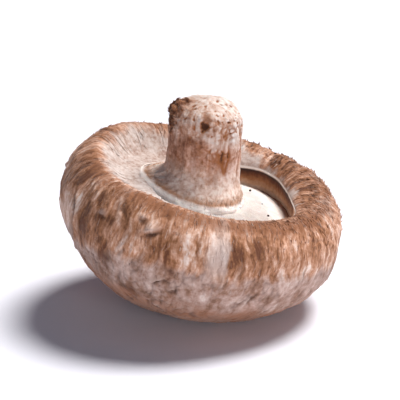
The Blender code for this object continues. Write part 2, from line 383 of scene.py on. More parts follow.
def cap_outline(angle, crown, wall, fold):
    """Radius and height of the cap's outline at each angle, from the crown's pole to the hollow's middle."""
    top = ridge_height(angle)
    lip, edge = lip_edge(angle)
    turn = turns(crown)
    height = -CROWN_DEPTH * np.cos(turn) * np.ones_like(angle)
    parts = [(outer_radius(angle, CAP_RADIUS * np.sin(turn), height), height)]
    turn = turns(wall)
    height = top * np.sin(turn)
    narrowing = 1.0 - np.cos(turn) ** (1.0 / MARGIN_FULLNESS)
    radius = CAP_RADIUS - (CAP_RADIUS - RIDGE_RADIUS) * narrowing
    parts.append((outer_radius(angle, radius, height), height))
    turn = turns(fold, last=True)
    start = outer_radius(angle, RIDGE_RADIUS, top)
    rolled = (1.0 - np.cos(turn)) ** 0.8
    sloping = step_up(np.sin(turn), 0.0, VEIL_SLOPE)
    fall = rolled + (sloping - rolled) * veil(angle)
    parts.append((start - (start - lip) * np.sin(turn), top - (top - edge) * fall))
    nose = np.linspace(0.0, pi, NOSE_ROWS + 1)[1:, None]
    half = LIP_THICKNESS / 4.0
    parts.append((lip - 0.15 * np.sin(nose) + 0.1 * (1.0 - np.cos(nose)), edge - half + half * np.cos(nose)))
    under = GILLS_OUTER_HEIGHT - 0.3
    wall_out = free_lip(angle)[0] + UNDERCUT
    for share in np.linspace(0.0, 1.0, WALL_IN_ROWS + 1)[1:]:
        radius = (lip + 0.2) * (1.0 - share ** 0.6) + wall_out * share ** 0.6
        height = (edge - LIP_THICKNESS / 2.0) * (1.0 - share) + under * share
        parts.append((radius[None], height[None]))
    for share in (1.0, 0.5, 0.0):
        parts.append(((share * wall_out)[None], np.full((1, len(angle)), HOLLOW_FLOOR)))
    return np.concatenate([p[0] for p in parts]), np.concatenate([p[1] for p in parts])


def turned(radius, height, angle):
    """Points of a turned shape."""
    return np.stack([radius * np.cos(angle), radius * np.sin(angle), height], axis=-1)


lip_at = lip_edge(np.radians([0.0, 180.0]))[0]
print("the lip's edge is", lip_at.round(1).tolist(), "mm from the axis on the right and on the left")

# %% [markdown]
# ## Where it lies
#
# The cap's axis leans 12 degrees to the right, and the crown is pressed flat where it meets the table.
# The move from the cap's frame to the table's could be copied from the model. It is found by fitting the
# smooth cap's box to the model's box, so it stays right if the model is made again a little larger.

# %% From the cap's frame to the table
def leaned(points):
    """Points of the cap's frame, turned by the lean."""
    return points @ np.array(Matrix.Rotation(radians(LEAN), 3, "Y")).T


plain_angle = np.linspace(0.0, 2.0 * pi, 60, endpoint=False)
plain = leaned(turned(*cap_outline(plain_angle, 60, 24, 24), plain_angle)).reshape(-1, 3)
cap_low, cap_high = (np.array(corner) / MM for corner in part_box("cap"))
shift = (cap_low + cap_high - plain.min(axis=0) - plain.max(axis=0)) / 2.0
shift[2] = cap_high[2] - plain[:, 2].max()
print("the cap's frame stands at", np.round(shift, 2).tolist(), "mm")
print("its crown reaches", round(float(plain[:, 2].min() + shift[2]), 2), "mm before it is pressed flat")


PRESS_EASE = 0.2  # mm over which the crown eases on to the table


def lie(points):
    """Points of the cap's frame as they lie on the table, in millimetres, pressed flat below its surface."""
    placed = leaned(points) + shift
    height = placed[..., 2]
    eased = height + np.sqrt(height * height + PRESS_EASE * PRESS_EASE)
    placed[..., 2] = 0.5 * (eased - PRESS_EASE * np.exp(-np.abs(height)))
    return placed

# %% [markdown]
# ## The surface of the cap
#
# The skin is a felt of fibres that run from the crown's middle out to the margin. On the wall they are
# torn into ridges about a millimetre wide, so the noise there is stretched three or four times as long
# along a fibre as across it. The crown is smoother, with low lumps and fine wrinkles. The inner slope
# carries the cottony white rest of the veil. Sculpting would give the same ridges by hand, but noise laid
# along the fibres gives them everywhere at once, and a mask for each zone says where it acts.

# %% Grid of the cap
COLUMNS = 472
CROWN_ROWS, WALL_ROWS, FOLD_ROWS = 112, 46, 32  # to the widest ring, to the ridge and to the lip
angle = np.linspace(0.0, 2.0 * pi, COLUMNS, endpoint=False)
radius, height = cap_outline(angle, CROWN_ROWS, WALL_ROWS, FOLD_ROWS)
smooth = turned(radius, height, angle)
outward = normals_of(smooth, CROWN_ROWS)
RIDGE_ROW = CROWN_ROWS + WALL_ROWS
LIP_ROW = RIDGE_ROW + FOLD_ROWS - 1
row, around = np.meshgrid(np.arange(float(len(smooth))), angle, indexing="ij")
length = length_along(smooth)
print("the outline is", round(float(length[LIP_ROW].mean()), 1), "mm from the crown's middle to the lip")


# %% Fibres and zones of the cap
def fibre_points(turn, along):
    """Coordinates that follow the fibres: millimetres round the cap, and millimetres along a fibre."""
    return np.stack([CAP_RADIUS * np.cos(turn), CAP_RADIUS * np.sin(turn), along], axis=-1)


straight = fibre_points(around, length)
sway = 0.05 * grained(straight, 11.0, 13.0, 11, 2) + 0.022 * grained(straight, 5.0, 3.5, 13, 2)
fibres = fibre_points(around + sway, length)
print("fibres sway by", round(CAP_RADIUS * float(np.abs(sway).max()), 1), "mm at most")

# %% Felt and crown
# Outside is all the skin that can be seen from outside. The crown's frayed edge is lower at the left.
outside = step_up(row, 2.0, 10.0) * (1.0 - step_up(row, RIDGE_ROW + 8.0, LIP_ROW - 6.0))
ragged = 1.7 * grained(fibres, 2.0, 22.0, 21) + 0.9 * fractal(fibres / 6.0, 31, 2)
felt_edge = -1.2 - 3.4 * near(around, 205.0, 45.0)
crown = 1.0 - step_up(height + ragged, felt_edge - 3.0, felt_edge + 1.8)
crown = np.where(row < LIP_ROW, crown, 0.0)
print("the crown takes", round(100.0 * float(crown.mean())), "% of the grid")

# %% White slope, lip and inner wall
COTTON_TURNS = (0.0, 45.0, 70.0, 100.0, 150.0, 190.0, 208.0, 222.0, 238.0, 262.0, 285.0, 310.0, 360.0)
COTTON_RADII = (18.6, 19.0, 20.4, 21.3, 21.9, 22.0, 21.9, 20.9, 19.7, 20.3, 19.6, 18.4, 18.6)
inner_radius = np.hypot(smooth[..., 0], smooth[..., 1])
veiled = veil(around)
cotton_out = np.interp(np.degrees(around), COTTON_TURNS, COTTON_RADII)
frayed = 0.7 * grained(fibres, 1.3, 6.0, 41) + 0.8 * fractal(smooth / 3.0, 45, 2)
cotton = 1.0 - step_up(
    inner_radius + frayed, cotton_out - 0.8 - 1.8 * veiled, cotton_out + 1.4 + veiled)
lip_line = np.exp(-((row - LIP_ROW - 1.0) / 3.0) ** 2)
cotton = np.where(row > RIDGE_ROW - 12, np.maximum(cotton, lip_line), 0.0)
under_lip = step_up(row, LIP_ROW + 4.0, LIP_ROW + 7.0)
# The inner wall is brown behind. Painted shade makes it darkest at its top, under the lip, and painted light
# makes it pale from the right round to the front.
wall_shade_and_light = np.clip((row - LIP_ROW - NOSE_ROWS) / WALL_IN_ROWS, 0.0, 1.0)
frontward = -np.degrees(round_angle(around))
painted_lit_side = step_up(frontward, -3.0, 6.0) * (1.0 - step_up(frontward, 80.0, 100.0))
wall_shade_and_light = wall_shade_and_light + (1.0 - wall_shade_and_light) * 0.8 * painted_lit_side
# A darker brown band runs along the ridge, strongest in front: partly the felt's own brown, partly painted
# shade.
rim_band_and_shade = bump((row - RIDGE_ROW + 7.0 + 3.0 * grained(fibres, 2.0, 6.0, 47, 2)) / 16.0)
rim_band_and_shade = rim_band_and_shade * (0.35 + 0.65 * near(around, 290.0, 110.0))
print("the white slope takes", round(100.0 * float(cotton.mean())), "% of the grid")

# %% [markdown]
# ### Marks of its own
#
# A real cap has a few marks that tell it from the next one: a smooth facet with a crack beside it at the
# far left, a bare pale patch in front where the felt has come away with one straight edge, stains, and
# scales of skin that lift at one end. They could be painted on an image, but a place given by its angle and
# height is enough, and it shapes the mesh and colours the skin at once.

# %% Facet, crack and bare patch
crack_turn = radians(207.0) - radians(0.14) * (height + 1.5) ** 2 + 0.015 * fractal(fibres / 3.0, 51, 2)
past_crack = round_angle(around - crack_turn) * CAP_RADIUS  # millimetres to the right of the crack
crack_zone = step_up(height, -11.0, -8.0) * (1.0 - step_up(height, 2.2, 4.0)) * (row < LIP_ROW)
crack = np.exp(-(past_crack / 0.42) ** 2) * crack_zone
facet = step_up(past_crack, -11.0, -7.0) * (1.0 - step_up(past_crack, -0.5, 0.1)) * crack_zone
facet = facet * (1.0 - step_up(height - 0.4 * past_crack, 1.5, 3.5))
bare_right = radians(-78.5) + 0.012 * fractal(fibres / 1.5, 61, 2)
bare_edge = round_angle(bare_right - around) * CAP_RADIUS  # millimetres left of its straight edge
bare = step_up(bare_edge, 0.0, 0.3) * (1.0 - step_up(bare_edge, 2.6, 6.0))
bare = bare * bump((height - 2.6 + 0.7 * fractal(fibres / 2.0, 71, 2)) / 5.6) ** 0.5 * (row < RIDGE_ROW)
beside = step_up(-bare_edge, 0.0, 0.35) * (1.0 - step_up(-bare_edge, 2.0, 6.0)) * bump((height - 3.0) / 6.5)
print("the bare patch covers", int((bare > 0.5).sum()), "points and the facet", int((facet > 0.5).sum()))

# %% Stains
PATCHES = (  # angle, height, millimetres to each side and up and down, and how much paler it is than the felt
    (267.0, 1.2, 2.7, 6.5, 0.24),
    (252.8, 1.4, 6.0, 5.5, -0.12),
    (298.0, 4.0, 7.0, 5.0, -0.06),
    (320.2, 0.0, 2.2, 1.8, 0.25),
    # This dark patch at the far left is painted shade, where a neighbouring mushroom shaded the cap.
    (217.0, 1.0, 6.5, 9.0, -0.17),
    (195.0, 7.0, 9.0, 5.0, -0.16),
    (228.0, -5.0, 9.0, 6.0, -0.07),
    (234.0, 3.0, 8.0, 5.0, -0.05),
    (252.0, -6.0, 7.0, 3.0, -0.08),
    (305.0, -4.0, 5.0, 4.0, 0.12),
    (335.0, 2.0, 6.0, 4.0, -0.10),
    (20.0, -2.0, 6.0, 6.0, 0.14),
    (60.0, 3.0, 7.0, 5.0, -0.12),
    (95.0, -1.0, 5.0, 5.0, 0.12),
    (130.0, 2.0, 7.0, 5.0, -0.10),
    (165.0, 0.0, 5.0, 6.0, 0.12),
)
# A stain of the inner slope has only its angle, its spread and how pale it is.
INNER_PATCHES = ((118.0, 58.0, -0.05), (10.0, 50.0, -0.14), (226.0, 45.0, 0.11))
stain_and_shade = -0.24 * beside * (row < RIDGE_ROW)
for turn, spread, paler in INNER_PATCHES:
    stain_and_shade = stain_and_shade + paler * near(around, turn, spread) * (row >= RIDGE_ROW)
for turn, level, wide, tall, paler in PATCHES:
    aside = arc(around, turn, CAP_RADIUS)
    stain_and_shade = stain_and_shade + paler * bump((aside + ragged) / wide) * bump((height - level) / tall) * (row < RIDGE_ROW)
print("stains run from", round(float(stain_and_shade.min()), 2), "to", round(float(stain_and_shade.max()), 2))

# %% Lifted scales
FLAPS = (  # angle, height, slant in degrees, millimetres wide, tall and lifted
    (248.4, 4.0, 28.0, 4.2, 2.1, 1.05),
    (243.0, 5.6, 10.0, 2.4, 1.2, 0.40),
    (231.8, 5.7, 125.0, 6.5, 1.0, 0.32),
    (225.0, 3.4, 15.0, 2.2, 1.3, 0.45),
    (212.0, -2.0, 80.0, 2.6, 1.0, 0.30),
    (255.0, -5.6, 35.0, 3.4, 1.6, 0.40),
    (262.0, -7.0, 42.0, 3.0, 1.4, 0.35),
    (238.0, -1.5, 55.0, 3.0, 1.2, 0.30),
    (255.0, -12.6, -5.0, 2.6, 1.1, 0.42),
    (258.0, -14.2, 12.0, 2.2, 1.0, 0.36),
    (281.0, -3.2, 85.0, 3.6, 1.1, 0.26),
    (287.0, -0.5, 95.0, 3.2, 1.0, 0.30),
    (296.0, -7.5, 80.0, 3.4, 1.0, 0.26),
    (309.0, -10.5, 60.0, 3.4, 1.1, 0.28),
    (318.0, -1.5, 100.0, 3.0, 1.2, 0.30),
    (330.0, -5.0, 70.0, 3.0, 1.3, 0.30),
    (345.0, 1.0, 40.0, 2.2, 1.2, 0.35),
    (12.0, 3.0, 20.0, 2.6, 1.5, 0.40),
    (33.0, -2.0, 50.0, 3.0, 1.3, 0.35),
    (64.0, 2.0, 15.0, 3.4, 1.6, 0.45),
    (88.0, -4.0, 70.0, 3.0, 1.2, 0.35),
    (117.0, 1.0, 30.0, 3.2, 1.5, 0.40),
    (148.0, -5.0, 60.0, 3.0, 1.3, 0.35),
    (170.0, 3.0, 20.0, 2.6, 1.3, 0.35),
)
# A scale is thickest at its free edge, with a painted shadow in the gap beyond, and thins out over its
# height.
warp_across, warp_over = 0.4 * fractal(smooth / 1.2, 82, 2), 0.35 * fractal(smooth / 1.4, 84, 2)
flap_rise, flap_pale, flap_shadow = np.zeros((3, *height.shape))
for turn, level, slant, wide, tall, lift in FLAPS:
    aside = arc(around, turn, CAP_RADIUS)
    above = height - level
    across = aside * cos(radians(slant)) + above * sin(radians(slant)) + warp_across
    over = above * cos(radians(slant)) - aside * sin(radians(slant)) + warp_over
    window = bump(across / (0.62 * wide)) ** 0.6 * (row < RIDGE_ROW) * (np.abs(aside) < 6.0)
    scale = np.clip(over / 0.22, 0.0, 1.0) * np.clip(1.0 - over / tall, 0.0, 1.0)
    flap_rise += lift * window * (scale - 0.5 * np.exp(-((over + 0.35) / 0.32) ** 2))
    flap_pale = np.maximum(flap_pale, window * scale * min(1.0, 2.2 * lift))
    flap_shadow = np.maximum(flap_shadow, window * np.exp(-((over + 0.30) / 0.34) ** 2) * min(1.0, 1.9 * lift))
print(len(FLAPS), "lifted scales, the highest", round(float(flap_rise.max()), 2), "mm")

# %% Relief of the cap
wall = outside * (1.0 - crown)
lumps = 0.34 * fractal(smooth / 11.0, 101, 2) + 0.20 * fractal(smooth / 4.0, 111, 2)
strands = grained(fibres, 1.7, 6.0, 121)
fine_strands = grained(fibres, 0.8, 3.0, 131, 2)
ribs = 0.17 * strands + 0.10 * fine_strands
grooves = -0.22 * np.exp(-(grained(fibres, 2.6, 8.0, 141, 1) / 0.09) ** 2)
crease = np.exp(-(grained(fibres, 2.6, 4.2, 151, 2) / 0.11) ** 2)
crease = crease * step_up(noise(smooth / 3.4, 155), -0.15, 0.25) * outside * crown
pimples = 0.07 * fractal(smooth / 0.8, 161, 2)
wrinkle = np.exp(-(grained(fibres, 1.9, 5.0, 181, 2) / 0.12) ** 2) * outside * crown
wrinkle = wrinkle * step_up(noise(smooth / 5.0, 185), -0.5, 0.2)
nearest, _ = cells(smooth / 1.5, 191)
# Specks are small pits on the wall and the ridge, mostly at the right and behind.
specks = (1.0 - step_up(nearest, 0.14, 0.34)) * step_up(noise(smooth / 5.0, 195), -0.2, 0.3) * wall
specks *= near(around, 20.0, 95.0) ** 0.5 * step_up(row, RIDGE_ROW - 26, RIDGE_ROW - 12)
fleece = 0.04 * grained(fibres, 1.2, 2.6, 171, 2) + 0.17 * fractal(smooth / 1.7, 175, 2)
print("ribs stand", round(float(ribs.max()), 2), "mm proud at most")

# %% Push the cap's surface in and out
# The facet and the bare patch have lost their felt, and cotton hides it.
felt = 1.0 - 0.9 * np.maximum(facet, 0.7 * bare)
fluffy = 1.0 - 0.8 * cotton
push = outside * lumps + wall * felt * fluffy * (ribs + grooves) + outside * crown * (pimples + 0.3 * ribs)
push += 0.8 * cotton * (1.0 - under_lip) * fleece - 0.2 * crease - 0.20 * wrinkle - 0.3 * specks
push += flap_rise - 0.55 * crack - 0.3 * bare
push += 0.35 * np.exp(-((past_crack - 0.8) / 0.5) ** 2) * crack_zone
push *= step_up(row, 0.0, 8.0) * (1.0 - under_lip)
cap_grid = smooth + outward * push[..., None]
print("the cap's surface moves from", round(float(push.min()), 2), "to", round(float(push.max()), 2), "mm")

# %% Masks and mesh of the cap
cap_masks = {
    "fibre": fibres,
    "place": smooth,
    "crown": crown,
    "cotton": cotton,
    "lip_line": lip_line,
    "under_lip": under_lip,
    "wall_shade_and_light": wall_shade_and_light,
    "rim_band_and_shade": rim_band_and_shade,
    "bare": np.clip(bare + 0.3 * facet + 0.75 * flap_pale, 0.0, 1.0),
    # The groove mask is painted shade: dark in the crack, creases, wrinkles, the pits of the specks and the
    # gaps under scales.
    "groove_shade": np.clip(flap_shadow + 1.1 * crack + 0.35 * crease + 0.45 * wrinkle + 0.8 * specks, 0.0, 1.0),
    "stain_and_shade": 0.5 + stain_and_shade,
    "low": step_up(-height + 1.5 * fractal(smooth / 4.0, 197, 2), 8.0, 14.0),
    "tone": np.full_like(height, 0.5),
}
cap = closed_grid("cap_flesh_and_skin", cap_grid, cap_masks, lie)

# %% [markdown]
# ## Fibrils
#
# The felt isn't only a surface: loose bundles of fibre stand off it, point to the margin and break up the
# outline. Hair curves would be the quick way, but hair has no closed mesh, so each fibril is a small
# tapered blade with three sides. It follows the cap's grid from its root and lifts towards its tip. Four
# sets share that function: flat fibrils on the wall, tufts all along the margin, taller tufts on the rim at
# the right, and fine threads on the white slope. Later the stem uses it too.

# %% Blades that follow a grid
STATIONS = 6  # rings of three points along a blade


def add_blades(name, grid, normal, masks, roots, rng):
    """A piece of blades. roots holds arrays of their row, column, length, width, lift and tone."""
    share = np.linspace(0.0, 1.0, STATIONS)
    count = len(roots["row"])
    drift = rng.normal(0.0, 0.30, count)[:, None]
    per_row, per_column = roots["per_row"], roots["per_column"]
    row_at = roots["row"][:, None] + share * roots["length"][:, None] / per_row[:, None]
    column_at = roots["column"][:, None] + share * drift * roots["length"][:, None] / per_column
    base = on_grid(grid, row_at, column_at)
    up = unit(on_grid(normal, row_at, column_at))
    side = unit(np.cross(np.gradient(base, axis=1), up))
    body = roots["width"][:, None] * (np.sqrt(np.clip(share * 6.0, 0.0, 1.0)) * (1.0 - share ** 1.6) + 0.03)
    rise = roots["lift"][:, None] * share ** 1.8 - 0.05
    middle = base + up * rise[..., None]
    left = middle - side * body[..., None] / 2.0
    right = middle + side * body[..., None] / 2.0
    crest = middle + up * (0.38 * body + 0.03)[..., None]
    points = np.stack([left, right, crest], axis=2).reshape(-1, 3)
    start = np.arange(count) * STATIONS * 3
    end = start + (STATIONS - 1) * 3
    station = start[:, None, None] + (np.arange(STATIONS - 1) * 3)[None, :, None]
    sides = [(station + np.array([a + 3, b + 3, b, a])).reshape(-1, 4) for a, b in ((0, 1), (1, 2), (2, 0))]
    faces = np.concatenate(sides).tolist()
    faces += np.stack([start, start + 1, start + 2], axis=-1).tolist()
    faces += np.stack([end + 2, end + 1, end], axis=-1).tolist()
    values = {}
    for mask, field in masks.items():
        found = on_grid(field, row_at, column_at)
        values[mask] = np.repeat(found.reshape(-1, *field.shape[2:]), 3, axis=0)
    values["tone"] = np.repeat(roots["tone"], STATIONS * 3)
    return add_mesh(name, lie(points), faces, values)


# %% Roots of the blades
def scatter(grid, count, low_row, high_row, size, rng, keep=None):
    """Random roots between two rows, kept by chance where keep says. size gives ranges in millimetres."""
    roots = {"row": rng.uniform(low_row, high_row, count), "column": rng.uniform(0.0, grid.shape[1], count)}
    if keep is not None:
        wanted = rng.uniform(0.0, 1.0, count) < on_grid(keep, roots["row"], roots["column"])
        roots = {name: values[wanted] for name, values in roots.items()}
    left = len(roots["row"])
    for name, (least, most) in size.items():
        roots[name] = least + (most - least) * rng.beta(1.3, 2.2, left)
    roots["tone"] = np.clip(rng.normal(0.5, 0.15, left), 0.0, 1.0)
    spacing = np.linalg.norm(np.gradient(grid, axis=0), axis=-1)
    roots["per_row"] = np.maximum(on_grid(spacing, roots["row"], roots["column"]), 0.1)
    roots["per_column"] = 2.0 * pi * float(np.linalg.norm(grid[:, 0, :2], axis=-1).max()) / grid.shape[1]
    return roots


# %% Fibrils of the wall and the margin
rng = np.random.default_rng(7)
cap_normal = normals_of(cap_grid, CROWN_ROWS)
felted = np.clip((wall * felt + 0.10 * outside) * (1.0 - 0.8 * cotton), 0.0, 1.0)
sets = {
    "wall_fibrils": scatter(
        cap_grid, 2800, CROWN_ROWS - 40, RIDGE_ROW + 8,
        {"length": (0.8, 3.4), "width": (0.12, 0.5), "lift": (0.0, 0.25)}, rng, felted),
    "margin_tufts": scatter(
        cap_grid, 1500, CROWN_ROWS + 20, RIDGE_ROW + 14,
        {"length": (0.5, 2.0), "width": (0.14, 0.5), "lift": (0.1, 0.75)}, rng,
        felted * (0.25 + 0.75 * near(around, 30.0, 110.0))),
    "rim_tufts": scatter(
        cap_grid, 1100, RIDGE_ROW - 34, RIDGE_ROW + 6,
        {"length": (0.5, 1.7), "width": (0.25, 0.65), "lift": (0.2, 0.95)}, rng,
        felted * near(around, 5.0, 75.0)),
    "cotton_threads": scatter(
        cap_grid, 400, RIDGE_ROW - 2, LIP_ROW - 6,
        {"length": (0.5, 1.6), "width": (0.10, 0.26), "lift": (0.0, 0.15)}, rng),
}
body_masks = {name: field for name, field in cap_masks.items() if name != "tone"}
fibrils = [add_blades(name, cap_grid, cap_normal, body_masks, roots, rng) for name, roots in sets.items()]
print(sum(len(roots["row"]) for roots in sets.values()), "fibrils stand on the cap")

# %% [markdown]
# ## Gills
#
# The gills are thin blades that run from the stem to under the lip, with shorter ones between them
# towards the outside. They are too many to place one by one, so the ring is a grid whose height falls
# between one blade and the next. A young cap's gills are still soft and close, so the valleys are shallow.

# %% Sizes of the gills and the stem
GILL_COUNT = 150
GILL_DEPTH = 0.42
STEPS_A_GILL = 8
STEM_SHIFT = 1.7  # the free part of the stem stands this far off the collar's middle
STEM_LEAN = -8.5  # and leans this many degrees
STEM_RADIUS = 7.3
STEM_TOP = 25.2
COLLAR_FLARE = 6.8  # the height over which the collar narrows to the shaft
COLLAR_SETTLE = 9.0  # the height over which its rise at the left dies away
STEM_END_ROUNDING = 4.2
FREE_SHARE = 0.27  # above this share of its height the stem has its full shift and lean
GAP = 0.3  # between the hollow's floor and the underside of the gills
print("a gill to every", round(2.0 * pi * LIP_RADIUS / GILL_COUNT, 2), "mm at the lip")

# %% Gills
# Every full blade runs the whole way, and a short one stands in each valley in the outer half.
gill_turn = np.linspace(0.0, 2.0 * pi, GILL_COUNT * STEPS_A_GILL, endpoint=False)
steps = np.concatenate([[0.0], np.linspace(0.0, 1.0, 42), [1.0]])
share, turn_at = np.meshgrid(steps, gill_turn, indexing="ij")
inner = COLLAR_RADIUS + COLLAR_REACH_LEFT * collar_side(turn_at) - 0.6
outer = free_lip(turn_at)[0] + UNDERCUT - 0.1
gill_x = (STEM_CENTRE + inner * np.cos(turn_at)) * (1.0 - share) + outer * np.cos(turn_at) * share
gill_y = inner * np.sin(turn_at) * (1.0 - share) + outer * np.sin(turn_at) * share
flat = np.stack([gill_x, gill_y, np.zeros_like(share)], axis=-1)
turn_of_gill = GILL_COUNT * turn_at / (2.0 * pi) + 0.25 * fractal(flat / 5.0, 201, 2)
full = np.abs(np.cos(pi * turn_of_gill)) ** 1.5
short = np.abs(np.sin(pi * turn_of_gill)) ** 2.5 * step_up(share, 0.35, 0.6)
blade = np.maximum(full, short)
falling = GILLS_INNER_HEIGHT + (GILLS_OUTER_HEIGHT - GILLS_INNER_HEIGHT) * share + 0.3 * np.sin(pi * share)
depth = GILL_DEPTH * step_up(share, 0.02, 0.15) * (1.0 - 0.5 * step_up(share, 0.85, 1.0))
gill_height = falling - depth * (1.0 - blade) + 0.10 * fractal(flat / 3.0, 211, 2)
gill_height[[0, -1]] = HOLLOW_FLOOR + GAP
gill_grid = np.stack([gill_x, gill_y, gill_height], axis=-1)
rows, columns = share.shape
faces = grid_faces(rows + 1, columns)[:, ::-1] % (rows * columns)  # the last row joins up with the first
# The valley mask is painted shade between the blades.
gill_masks = {"place": gill_grid, "valley_shade": (1.0 - blade) * step_up(share, 0.0, 0.2), "share": share}
gill_masks = {name: field.reshape(-1, *field.shape[2:]) for name, field in gill_masks.items()}
gills = add_mesh("gill_blades", lie(gill_grid.reshape(-1, 3)), faces.tolist(), gill_masks)

# %% [markdown]
# ## Stem
#
# The stem stands off-centre on a wide collar. Its lower half is silky, with fibres along it; its cut end
# is crumbly, eaten with small pits, and one strip of brown skin is torn up at the left. It could be carved
# with Booleans, but a pit less than a millimetre deep is only a dent, so the same push along the normals
# makes it. Small flakes stand on the torn strip, and loose threads break up the collar's edge.


# %% Outline of the stem
def stem_radius(angle, height):
    """The stem's radius at a height along its axis: collar, shaft and rounded cut end."""
    narrowing = np.clip((height - COLLAR_HEIGHT) / COLLAR_FLARE, 0.0, 1.0)
    collar = COLLAR_RADIUS + COLLAR_REACH_LEFT * collar_side(angle)
    radius = STEM_RADIUS + (collar - STEM_RADIUS) * (1.0 - narrowing) ** 2.2
    closing = np.clip(1.0 - (STEM_TOP - height) / STEM_END_ROUNDING, 0.0, 1.0)
    return radius * np.sqrt(np.clip(1.0 - closing ** 2.6, 0.0, 1.0))


STEM_COLUMNS = 320
stem_turn = np.linspace(0.0, 2.0 * pi, STEM_COLUMNS, endpoint=False)
cut_end = 1.0 - 0.17 * np.cos(np.linspace(0.0, pi / 2.0, 70)) ** 1.6
stem_share = np.concatenate([[-0.2, -0.1], np.linspace(0.0, 0.83, 150, endpoint=False), cut_end])[:, None]
axis_height = COLLAR_HEIGHT + stem_share * (STEM_TOP - COLLAR_HEIGHT)
grown = 1.0 - bump(np.clip(stem_share / FREE_SHARE, 0.0, 1.0))
tilt = radians(STEM_LEAN) * grown
round_radius = stem_radius(stem_turn, axis_height)
round_radius[0] = 0.0
uneven = 1.0 + grown * (0.03 * np.cos(2.0 * stem_turn + 0.7) + 0.02 * np.sin(3.0 * stem_turn))
ring_x = round_radius * uneven * np.cos(stem_turn)
rise = axis_height - COLLAR_HEIGHT
left_rise = COLLAR_RISE_LEFT * np.clip(1.0 - rise / COLLAR_SETTLE, 0.0, 1.0) ** 2 * collar_side(stem_turn)
stem_grid = np.stack([
    STEM_CENTRE + STEM_SHIFT * grown + rise * np.sin(tilt) + ring_x * np.cos(tilt),
    round_radius * uneven * np.sin(stem_turn),
    COLLAR_HEIGHT + rise * np.cos(tilt) - ring_x * np.sin(tilt) + left_rise,
], axis=-1)
MID_ROW = 100
stem_out = normals_of(stem_grid, MID_ROW)
print("the stem's shaft is", round(2.0 * STEM_RADIUS, 1), "mm thick")

# %% Surface of the stem
# eaten is the crumbly cut end, tunnels and spots are its small pits, and silk and furrow run along the shaft.
stem_row, turn_at = np.meshgrid(np.arange(float(len(stem_grid))), stem_turn, indexing="ij")
stem_along = length_along(stem_grid)
stem_fibres = np.stack([STEM_RADIUS * np.cos(turn_at), STEM_RADIUS * np.sin(turn_at), stem_along], axis=-1)
level = np.broadcast_to(stem_share, stem_row.shape)
shape = stem_grid


def stem_patch(turn, spread, where, tall):
    """1 in the middle of a patch of the stem, 0 outside it; degrees round it and shares of its height."""
    return near(stem_turn, turn, spread) * bump((level - where) / tall)


warped = shape + 0.35 * np.stack([fractal(shape / 1.3, seed, 2) for seed in (301, 305, 309)], axis=-1)
rightward = 0.5 + 0.5 * np.cos(stem_turn - radians(-40.0))
eaten = step_up(level + 0.07 * fractal(shape / 3.0, 311, 2) + 0.22 * (rightward ** 2 - 0.4), 0.56, 0.76)
nearest, second = cells(warped / 1.35, 321)
tunnels = np.exp(-((second - nearest) / 0.26) ** 2) * stem_patch(-48.0, 74.0, 0.66, 0.27) ** 0.3
tunnels = tunnels * step_up(noise(shape / 2.2, 331), -0.45, 0.10)
spot, _ = cells(warped / 1.5, 341)
spots = (1.0 - step_up(spot, 0.10, 0.30)) * step_up(level, 0.55, 0.72)
silk = grained(stem_fibres, 1.0, 8.0, 361)
furrow = np.exp(-(grained(stem_fibres, 1.6, 8.0, 365, 1) / 0.22) ** 2)
furrowed = 1.2 * stem_patch(-40.0, 62.0, 0.42, 0.28) ** 0.5 + 0.25 * stem_patch(140.0, 140.0, 0.45, 0.3)
furrow = furrow * np.clip(furrowed, 0.0, 1.0)
# The browned patches are brown skin, and the larger one, on the front-left side away from the sun, is partly
# painted shade.
browned_and_shaded = stem_patch(-120.0, 75.0, 0.56, 0.26) + 0.8 * stem_patch(-70.0, 26.0, 0.42, 0.24)
browned_and_shaded = step_up(browned_and_shaded + 0.30 * fractal(shape / 2.4, 367, 3), 0.20, 0.80)
print("the pitted end covers", round(100.0 * float(eaten.mean())), "% of the stem's grid")

# %% Dimples and the torn strip
DIMPLES = (  # angle, share of the height, millimetres across, millimetres deep
    (-94.0, 0.815, 1.45, 1.1),
    (-101.0, 0.60, 0.8, 0.25),
    (-60.0, 0.70, 0.7, 0.3),
    (-118.0, 0.68, 0.8, 0.25),
    (-70.0, 0.86, 0.6, 0.25),
    (60.0, 0.72, 1.3, 0.6),
    (150.0, 0.80, 1.1, 0.5),
)
dimple = np.zeros_like(level)
for turn, where, wide, deep in DIMPLES:
    off_centre = np.hypot(arc(stem_turn, turn, STEM_RADIUS), (level - where) * (STEM_TOP - COLLAR_HEIGHT))
    dimple += deep * bump((off_centre + 0.25 * fractal(shape / 0.9, 371, 2)) / wide)
torn_aside = arc(stem_turn, 196.0, STEM_RADIUS) + 0.9 * fractal(shape / 1.6, 373, 2)
torn = bump(torn_aside / 2.9) * step_up(level + 0.05 * fractal(shape / 1.0, 375, 2), 0.60, 0.74)
torn = torn * (1.0 - step_up(level, 0.965, 0.99))
ragged_strip = torn * (0.40 + 0.55 * fractal(shape / 0.8, 381, 3))
print("the torn strip lifts", round(float(ragged_strip.max()), 2), "mm at most")

